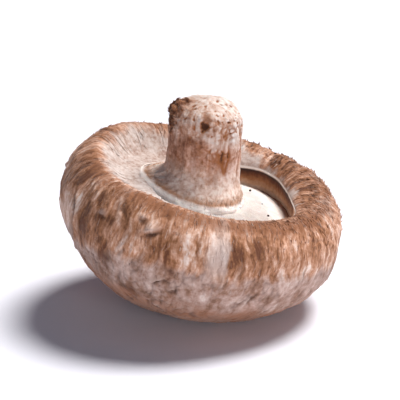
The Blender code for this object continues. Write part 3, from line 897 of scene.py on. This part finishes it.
# %% Mesh of the stem
crumbs = fractal(shape / 0.9, 351, 2)
push = 0.34 * fractal(shape / 4.5, 391, 2) + (1.0 - eaten) * 0.14 * silk + (0.05 + 0.09 * eaten) * crumbs
push += -0.26 * tunnels - 0.22 * spots - 0.34 * furrow - dimple + ragged_strip
push += 1.4 * torn * stem_patch(200.0, 60.0, 0.92, 0.12) - 0.8 * stem_patch(-15.0, 70.0, 0.95, 0.20)
edge_wave = 0.22 * fractal(shape / 1.5, 395, 2) + 0.30 * noise(shape / 4.0, 397)
push = push * step_up(stem_row, 1.0, 6.0) + edge_wave * bump((stem_row - 4.0) / 8.0)
stem_grid = stem_grid + stem_out * push[..., None]
stem_masks = {
    "fibre": stem_fibres,
    "place": shape,
    "level": level,
    "eaten": eaten,
    "browned_and_shaded": browned_and_shaded,
    "pit": np.clip(0.62 * tunnels + 0.7 * spots + 0.7 * furrow + 1.5 * dimple, 0.0, 1.0),
    "torn": np.clip(1.6 * torn, 0.0, 1.0),
    # This mask is painted shade: 1 on the side turned away from the sun, where the stem's colour is made
    # darker.
    "painted_shade_side": 0.5 + 0.5 * np.cos(turn_at - radians(215.0)),
}
stem = closed_grid("stem_shaft_and_collar", stem_grid, stem_masks, lie)

# %% Torn skin and threads of the stem
stem_normal = normals_of(stem_grid, MID_ROW)
flakes = scatter(
    stem_grid, 900, 90, 200, {"length": (0.5, 1.8), "width": (0.2, 0.8), "lift": (0.1, 0.9)},
    np.random.default_rng(23), np.clip(torn * 1.2, 0.0, 1.0))
threads = scatter(
    stem_grid, 700, 1, 16, {"length": (0.4, 1.5), "width": (0.12, 0.4), "lift": (0.0, 0.4)},
    np.random.default_rng(31))
torn_skin = add_blades(
    "torn_stem_skin", stem_grid, stem_normal, stem_masks, flakes, np.random.default_rng(29))
collar_threads = add_blades(
    "collar_threads", stem_grid, stem_normal, stem_masks, threads, np.random.default_rng(37))

# %% [markdown]
# ## Crumbs of soil
#
# A picked mushroom is never quite clean. A few dark grains lie on the gills and in the felt of the margin.
# An icosphere would do for each, but they are one piece, so each lump is worked out and they are joined.

# %% Soil grains
def grain(centre, size, rng):
    """Points and faces of one small lump, an eight-sided ball pressed out of shape."""
    turns_round, levels = 8, 5
    points = []
    for i in range(1, levels):
        lean = pi * i / levels
        for k in range(turns_round):
            turn = 2.0 * pi * k / turns_round
            points.append((sin(lean) * cos(turn), sin(lean) * sin(turn), 0.7 * cos(lean)))
    points += [(0.0, 0.0, 0.7), (0.0, 0.0, -0.7)]
    points = np.array(points) * rng.uniform(0.75, 1.25, (len(points), 1)) * size + centre
    faces = grid_faces(levels - 1, turns_round)[:, ::-1].tolist()
    top, bottom, final = len(points) - 2, len(points) - 1, (levels - 2) * turns_round
    for k in range(turns_round):
        after = (k + 1) % turns_round
        faces.append([top, k, after])
        faces.append([final + after, final + k, bottom])
    return points, faces


GRAINS_ON_GILLS = ((42.0, 13.4, 0.30), (-17.0, 14.2, 0.26), (70.0, 15.0, 0.16), (10.0, 12.6, 0.14))
GRAINS_ON_FELT = ((31.0, CROWN_ROWS + 30, 0.75), (28.0, CROWN_ROWS + 26, 0.4), (52.0, RIDGE_ROW, 0.3))
ON_GILLS = 4.25  # the height of the gills where the grains lie
lumps_at = []
for turn, out, size in GRAINS_ON_GILLS:
    lumps_at.append((np.array([out * cos(radians(turn)), out * sin(radians(turn)), ON_GILLS]), size))
for turn, at_row, size in GRAINS_ON_FELT:
    centre = on_grid(cap_grid, np.array([float(at_row)]), np.array([turn / 360.0 * COLUMNS]))[0]
    lumps_at.append((centre, size))
rng = np.random.default_rng(19)
grain_points, grain_faces = [], []
for centre, size in lumps_at:
    points, faces = grain(centre, size, rng)
    first = sum(len(done) for done in grain_points)
    grain_faces += [[corner + first for corner in face] for face in faces]
    grain_points.append(points)
grains = add_mesh("soil_grains", lie(np.concatenate(grain_points)), grain_faces, {})
print(len(lumps_at), "grains")

# %% [markdown]
# ## Colours and nodes
#
# Colours are written as the sRGB hex values that a painter would pick, and one function turns them to the
# linear values that a shader works in. One small function adds a node, sets what is given and links it.


# %% One colour function and one node function
def linear(code):
    """An sRGB hex colour as linear red, green, blue and alpha."""
    channels = [int(code[i:i + 2], 16) / 255.0 for i in (1, 3, 5)]
    return (*(c / 12.92 if c <= 0.04045 else ((c + 0.055) / 1.055) ** 2.4 for c in channels), 1.0)


def socket(sockets, key):
    """The socket with that identifier or name."""
    for one in sockets:
        if one.identifier == key:
            return one
    return sockets[key]


def add_node(material, kind, settings=None, links=None):
    """Add one node. Settings go on its sockets, its ramp or itself; links join its inputs to outputs."""
    tree = material.node_tree
    made = tree.nodes.new("ShaderNode" + kind)
    later = {}
    for key, value in (settings or {}).items():
        value = linear(value) if isinstance(value, str) and value.startswith("#") else value
        if key == "ramp":
            elements = made.color_ramp.elements
            for index, (position, colour) in enumerate(value):
                element = elements[index] if index < 2 else elements.new(position)
                element.position = position
                element.color = linear(colour) if isinstance(colour, str) else (colour, colour, colour, 1.0)
        elif hasattr(made, key):
            setattr(made, key, value)
        else:
            later[key] = value
    for key, value in later.items():
        socket(made.inputs, key).default_value = value
    for key, source in (links or {}).items():
        tree.links.new(source, socket(made.inputs, key))
    return made


def new_material(name):
    """An empty node material."""
    material = bpy.data.materials.new(name)
    material.use_nodes = True
    material.node_tree.nodes.clear()
    return material


def finish_material(material, settings, links):
    """The surface shader and the output."""
    shader = add_node(material, "BsdfPrincipled", settings, links)
    add_node(material, "OutputMaterial", {}, {"Surface": shader.outputs["BSDF"]})
    print(material.name, "has", len(material.node_tree.nodes), "nodes")
    return material

# %% [markdown]
# ## Patterns and coats
#
# A grown skin has many tints that change with their place. Each material here is built the way a painter
# would: noise patterns of a real size, sums of them that say how light or brown a spot is, and coats of
# colour laid over a ground, each with its cover. Three functions hold those steps, for all the materials.

# %% Patterns, sums and coats of colour
def patterns(material, masks, table):
    """Noise for each name in a table, which gives what places it, its size in mm and its detail."""
    made = {}
    for name, (source, sizes, detail) in table.items():
        scale = {"Scale": [1.0 / size for size in sizes]}
        scaled = add_node(material, "Mapping", scale, {"Vector": masks[source]["Vector"]})
        settings = {"Scale": 1.0, "Detail": detail, "Roughness": 0.6}
        noisy = add_node(material, "TexNoise", settings, {"Vector": scaled.outputs["Vector"]})
        made[name] = noisy.outputs["Fac"]
    return made


def summed(material, first, *others):
    """The first value plus a share of each other one, counted from its middle, which is a half."""
    offset = -0.5 * sum(share for share, _ in others)
    total = add_node(material, "Math", {"operation": "ADD", "Value_001": offset}, {"Value": first}).outputs[0]
    for share, other in others:
        settings = {"operation": "MULTIPLY_ADD", "Value_001": share}
        total = add_node(material, "Math", settings, {"Value": other, "Value_002": total}).outputs[0]
    return total


def coated(material, ground, coats):
    """The ground with coats of colour laid over it. Each coat has its cover, from 0 to 1, and its colour."""
    for cover, colour in coats:
        settings, links = {"data_type": "RGBA"}, {"Factor_Float": cover, "A_Color": ground}
        (settings if isinstance(colour, str) else links)["B_Color"] = colour
        ground = add_node(material, "Mix", settings, links).outputs[2]
    return ground

# %% [markdown]
# ## Felted skin
#
# The skin is dry felt of fungal threads, grown and then torn by the growing cap: fibres bleached and
# browned in streaks, which scatter light and give no clear gloss. So it is rough, with a little sheen where
# the loose fibres catch light at the edge. The streaks are 1 to 5 mm wide and up to four times as long.
# The crown is greyer, frosted and blotched, and browner where it is lowest. The inner slope is white
# cotton. Masks on the mesh say which is where, and fine noise frays their edges. An image texture would
# need the skin cut open and laid flat; noise placed along the fibres needs no seams.

# %% Felted skin material
FELT_PATTERNS = {  # what places it, its size in mm across, across and along, and its detail
    "streak": ("fibre", (2.1, 2.1, 7.0), 4.0),
    "fine": ("fibre", (0.8, 0.8, 3.0), 3.0),
    "wide": ("fibre", (5.5, 5.5, 9.0), 3.0),
    "blotch": ("place", (4.0, 4.0, 4.0), 4.0),
    "speckle": ("place", (0.8, 0.8, 0.8), 3.0),
}
SKIN_MASKS = ("fibre", "place", *(name for name in cap_masks if name not in ("fibre", "place")))


def felted_skin():
    """Dry felted skin: tissue with an IOR a little over that of water, and too rough for a clear gloss."""
    skin = new_material("felted shiitake skin")
    masks = {name: add_node(skin, "Attribute", {"attribute_name": name}).outputs for name in SKIN_MASKS}
    on = {name: outputs["Fac"] for name, outputs in masks.items()}
    look = patterns(skin, masks, FELT_PATTERNS)
    tints = {}
    strand = summed(
        skin, look["streak"],
        (0.7, look["wide"]), (0.7, look["fine"]), (0.4, look["speckle"]), (1.0, on["stain_and_shade"]))
    dusk = summed(
        skin, look["blotch"],
        (0.4, look["speckle"]), (0.8, look["streak"]), (0.3, look["wide"]), (0.7, on["stain_and_shade"]))
    cloud = summed(skin, look["speckle"], (0.9, look["blotch"]), (0.2, look["fine"]), (0.8, on["stain_and_shade"]))
    # The inner wall's tint is painted shade, nearly black at its top under the lip, and painted light on its
    # pale side.
    inner = summed(skin, on["wall_shade_and_light"], (0.35, look["blotch"]), (0.25, look["speckle"]))
    for name, value, ramp in (
            ("brown", strand, [
                (0.20, "#63381f"), (0.37, "#91603f"), (0.50, "#b07f62"), (0.62, "#cba28b"),
                (0.80, "#e6d2c6")]),
            ("frosted", dusk, [
                (0.22, "#6a4534"), (0.38, "#8f6b58"), (0.52, "#a7897c"), (0.66, "#bca094"),
                (0.82, "#d0beb4")]),
            ("bare", strand, [(0.3, "#bba296"), (0.7, "#d3c0b6")]),
            ("cotton", cloud, [(0.22, "#94766a"), (0.36, "#ad968a"), (0.50, "#bcaaa1"), (0.74, "#cdc1bb")]),
            ("inner", inner, [
                (0.08, "#331910"), (0.28, "#633720"), (0.50, "#9c6844"), (0.72, "#cfa482"),
                (0.92, "#e6cfba")])):
        tints[name] = add_node(skin, "ValToRGB", {"ramp": ramp}, {"Fac": value}).outputs["Color"]
    # The rim cover is partly the felt's own brown and partly painted shade along the ridge.
    covers = {}
    for name, value, start, end, most in (
            ("crown", summed(skin, on["crown"], (0.8, look["streak"])), 0.2, 0.8, 1.0),
            ("low", summed(skin, on["low"], (0.8, look["blotch"])), 0.1, 0.9, 0.75),
            ("rim", summed(skin, on["rim_band_and_shade"], (0.8, look["streak"])), 0.08, 0.7, 0.8),
            ("cotton", summed(skin, on["cotton"], (0.8, look["blotch"])), 0.2, 0.8, 1.0),
            ("lip", on["lip_line"], 0.25, 0.8, 0.85),
            ("darker", on["tone"], 0.5, 0.0, 0.5),
            ("paler", on["tone"], 0.5, 1.0, 0.5)):
        limits = {"From Min": start, "From Max": end, "To Max": most}
        covers[name] = add_node(skin, "MapRange", limits, {"Value": value}).outputs["Result"]
    # The dark coat of the groove mask is painted shade in cracks, creases, wrinkles, pits and under lifted
    # scales.
    colour = coated(skin, tints["brown"], (
        (covers["crown"], tints["frosted"]),
        (covers["low"], "#a76b45"),
        (covers["rim"], "#7e4b29"),
        (on["bare"], tints["bare"]),
        (covers["cotton"], tints["cotton"]),
        (covers["lip"], "#ece2da"),
        (on["under_lip"], tints["inner"]),
        (on["groove_shade"], "#43271a"),
        (covers["darker"], "#6a4330"),
        (covers["paler"], "#dccabf")))
    relief = summed(skin, look["fine"], (0.7, look["speckle"]), (0.6, look["streak"]))
    softer = add_node(skin, "MapRange", {"To Min": 0.8, "To Max": 0.35}, {"Value": on["cotton"]})
    bumped = add_node(
        skin, "Bump", {"Distance": 0.00025}, {"Strength": softer.outputs["Result"], "Height": relief})
    rough = add_node(skin, "MapRange", {"To Min": 0.62, "To Max": 0.92}, {"Value": strand})
    settings = {"IOR": 1.42, "Specular IOR Level": 0.35, "Sheen Weight": 0.12, "Sheen Roughness": 0.5}
    return finish_material(skin, settings, {
        "Base Color": colour, "Roughness": rough.outputs["Result"], "Normal": bumped.outputs["Normal"]})


skin = felted_skin()
for piece in (cap, *fibrils):
    piece.data.materials.append(skin)

# %% [markdown]
# ## Gill tissue
#
# Gills are thin, wet and nearly white, and light goes a little way into them, so their valleys stay pale.
# A little subsurface scattering gives that, over a depth of about half a millimetre. Painted shade still
# makes the valleys a little darker and the outer gills brown under the lip.

# %% Gill material
def gill_tissue():
    """Thin damp tissue: pale to its depths, a little smoother than the felt."""
    tissue = new_material("cream gill tissue")
    names = ("place", "valley_shade", "share")
    masks = {name: add_node(tissue, "Attribute", {"attribute_name": name}).outputs for name in names}
    cloud = patterns(tissue, masks, {"cloud": ("place", (1.7, 1.7, 1.7), 4.0)})["cloud"]
    cream = add_node(tissue, "ValToRGB", {"ramp": [(0.3, "#dbd3ce"), (0.7, "#e8e4e1")]}, {"Fac": cloud})
    coats = []
    # The outer gills under the lip are painted brown as painted shade; the inner ones are browner next to the
    # stem.
    for name, start, end, most, colour in (
            ("valley_shade", 0.0, 1.0, 0.5, "#c9b3a4"),
            ("share", 0.72, 1.0, 0.85, "#a5785a"),
            ("share", 0.10, 0.0, 0.6, "#b98762")):
        limits = {"From Min": start, "From Max": end, "To Max": most}
        cover = add_node(tissue, "MapRange", limits, {"Value": masks[name]["Fac"]})
        coats.append((cover.outputs["Result"], colour))
    colour = coated(tissue, cream.outputs["Color"], coats)
    return finish_material(tissue, {
        "Roughness": 0.6, "IOR": 1.4, "Specular IOR Level": 0.35, "Subsurface Weight": 0.2,
        "Subsurface Radius": (1.0, 0.6, 0.4), "Subsurface Scale": 0.0006}, {"Base Color": colour})


gills.data.materials.append(gill_tissue())

# %% [markdown]
# ## Stem tissue
#
# The stem is the same flesh with a thinner skin: pinkish cream, with brown patches and painted shade that
# darkens its front-left side, away from the sun. It has rust-brown rims round the pits of the cut end, with
# painted shade darkest in the deepest pits, a dark brown strip where the skin is torn, and a faint orange
# line above the white edge of the collar. It has the same parts as the felted skin: patterns, tints, covers
# and coats.

# %% Stem material
STEM_PATTERNS = {
    "thread": ("fibre", (1.0, 1.0, 6.0), 3.0),
    "blotch": ("place", (3.0, 3.0, 4.0), 4.0),
    "speckle": ("place", (0.8, 0.8, 0.8), 3.0),
}


def stem_tissue():
    """Solid flesh under a thin dry skin: matt, and a little translucent."""
    tissue = new_material("dry stem tissue")
    masks = {name: add_node(tissue, "Attribute", {"attribute_name": name}).outputs for name in stem_masks}
    on = {name: outputs["Fac"] for name, outputs in masks.items()}
    look = patterns(tissue, masks, STEM_PATTERNS)
    # The side away from the sun is painted darker here, as painted shade.
    shade = summed(
        tissue, look["blotch"], (0.6, look["thread"]), (0.6, look["speckle"]), (-0.25, on["painted_shade_side"]))
    cloud = summed(tissue, look["speckle"], (0.5, look["blotch"]), (0.3, look["thread"]))
    tints = {}
    for name, value, ramp in (
            ("silky", shade, [(0.24, "#8f5f44"), (0.40, "#b88b74"), (0.55, "#cfa999"), (0.75, "#e2ccc0")]),
            ("crumbly", shade, [(0.22, "#94674e"), (0.38, "#b89582"), (0.54, "#cab7ac"), (0.78, "#e2d9d3")]),
            ("brown_and_shade", shade, [(0.28, "#6a3e2a"), (0.45, "#976850"), (0.60, "#b98e78"), (0.80, "#d2b2a1")]),
            ("collar", cloud, [(0.22, "#ad8670"), (0.40, "#d2b3a2"), (0.62, "#e8d7cc")]),
            ("strip", look["speckle"], [(0.30, "#371c10"), (0.50, "#6b3f27"), (0.72, "#a87450")])):
        tints[name] = add_node(tissue, "ValToRGB", {"ramp": ramp}, {"Fac": value}).outputs["Color"]
    ring_at = summed(tissue, on["level"], (0.03, look["blotch"]))
    # The deep cover is painted shade, darkest in the deepest pits and dimples.
    covers = {}
    for name, value, start, end, most in (
            ("browned_and_shaded", on["browned_and_shaded"], 0.0, 1.0, 0.9),
            ("collar", summed(tissue, on["level"], (0.25, look["blotch"])), 0.42, 0.20, 1.0),
            ("above", ring_at, 0.11, 0.05, 0.85),
            ("below", ring_at, 0.02, 0.045, 1.0),
            ("broken", look["blotch"], 0.30, 0.50, 0.95),
            ("edge", ring_at, 0.04, 0.02, 0.8),
            ("pit", on["pit"], 0.05, 0.6, 0.95),
            ("deep", on["pit"], 0.75, 1.0, 0.9)):
        limits = {"From Min": start, "From Max": end, "To Max": most}
        covers[name] = add_node(tissue, "MapRange", limits, {"Value": value}).outputs["Result"]
    ring = covers["above"]
    for name in ("below", "broken"):
        links = {"Value": ring, "Value_001": covers[name]}
        ring = add_node(tissue, "Math", {"operation": "MULTIPLY"}, links).outputs[0]
    colour = coated(tissue, tints["silky"], (
        (on["eaten"], tints["crumbly"]),
        (covers["browned_and_shaded"], tints["brown_and_shade"]),
        (covers["collar"], tints["collar"]),
        (ring, "#a9744d"),
        (covers["edge"], "#f2ebe6"),
        (covers["pit"], "#94592f"),
        (covers["deep"], "#4a2817"),
        (on["torn"], tints["strip"])))
    relief = summed(tissue, look["speckle"], (0.6, look["thread"]), (0.3, look["blotch"]))
    bumped = add_node(tissue, "Bump", {"Strength": 0.7, "Distance": 0.0002}, {"Height": relief})
    return finish_material(tissue, {
        "Roughness": 0.75, "IOR": 1.42, "Specular IOR Level": 0.35, "Subsurface Weight": 0.12,
        "Subsurface Radius": (1.0, 0.6, 0.4), "Subsurface Scale": 0.0006, "Sheen Weight": 0.08}, {
        "Base Color": colour, "Normal": bumped.outputs["Normal"]})


dry_stem = stem_tissue()
for piece in (stem, torn_skin, collar_threads):
    piece.data.materials.append(dry_stem)

# %% [markdown]
# ## Soil
#
# The grains are damp, dark substrate: matt and almost black. The largest is a millimetre and a half
# across, too small to show a pattern of its own, so their colour and roughness are plain.

# %% Soil material
soil = finish_material(new_material("damp soil"), {"Base Color": "#2c1c14", "Roughness": 0.9}, {})
grains.data.materials.append(soil)

# %% [markdown]
# ## Floor and light
#
# The mushroom lies on a plain white table in soft light. A wide, soft sun stands high behind it to the
# right, and gives the bright top edges and the soft shadow in front and to the left. A sun lights the whole
# floor alike, so it stays white to the horizon. A weak lamp low in front opens the shaded wall without
# lighting the floor much. The sky is white at the horizon and dark above, so the shadow stays deep.

# %% Floor
FLOOR_HALF = 3.0  # metres
corners = [(FLOOR_HALF * x, FLOOR_HALF * y, 0.0) for x, y in ((-1, -1), (1, -1), (1, 1), (-1, 1))]
floor_mesh = bpy.data.meshes.new("floor")
floor_mesh.from_pydata(corners, [], [(0, 1, 2, 3)])
floor = bpy.data.objects.new("floor", floor_mesh)
bpy.context.scene.collection.objects.link(floor)
painted = finish_material(new_material("white table"), {"Base Color": "#ebebf3", "Roughness": 0.7}, {})
floor.data.materials.append(painted)
print("the floor is", 2.0 * FLOOR_HALF, "m wide")


# %% Lamps
def add_lamp(name, kind, azimuth, elevation, distance, settings):
    """A lamp that points at the mushroom. Azimuth 0 is in front and 90 to the right, in degrees."""
    lamp = bpy.data.objects.new(name, bpy.data.lights.new(name, kind))
    bpy.context.scene.collection.objects.link(lamp)
    turn, rise = radians(azimuth), radians(elevation)
    lamp.location = aim + distance * Vector((sin(turn) * cos(rise), -cos(turn) * cos(rise), sin(rise)))
    lamp.rotation_euler = (aim - lamp.location).to_track_quat("-Z", "Y").to_euler()
    for key, value in settings.items():
        setattr(lamp.data, key, value)
    print(name, "stands at", azimuth, "degrees round and", elevation, "degrees up")


add_lamp("key", "SUN", 125.0, 62.0, 1.0, {
    "energy": 4.8, "angle": radians(25.0), "color": linear("#fffdfb")[:3]})
add_lamp("fill", "AREA", 28.0, 8.0, 1.2, {
    "energy": 5.6, "size": 0.40, "color": linear("#fbfbff")[:3]})

# %% Sky
world = bpy.data.worlds.new("sky")
bpy.context.scene.world = world
world.use_nodes = True
way = add_node(world, "TexCoord")
steep = add_node(world, "SeparateXYZ", {}, {"Vector": way.outputs["Generated"]})
sky = add_node(world, "ValToRGB", {"ramp": [
    (0.0, "#ffffff"), (0.12, "#dfe3ee"), (0.28, "#4c5264"), (1.0, "#272d3d")]}, {"Fac": steep.outputs["Z"]})
world.node_tree.links.new(sky.outputs["Color"], world.node_tree.nodes["Background"].inputs["Color"])
bpy.context.scene.view_settings.view_transform = "Standard"
print("the sky has", len(world.node_tree.nodes), "nodes")

# %% [markdown]
# ## Join the frame
#
# Each piece rides on the one body of the model. The cap, the gills and the stem also stand
# for the model's solids, which only carry the weight and the touch.

# %% Ride and replace
organs = ((cap, "cap", "cap_skin"), (gills, "gills", "gill_tissue"), (stem, "stem", "stem_tissue"))
for piece, node, slot in organs:
    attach(piece, "root")
    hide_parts(node)
small_pieces = [(piece, "cap_skin") for piece in (*fibrils, grains)]
small_pieces += [(torn_skin, "stem_tissue"), (collar_threads, "stem_tissue")]
for piece, slot in small_pieces:
    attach(piece, "root")
print(len(organs) + len(small_pieces), "pieces ride on the root")
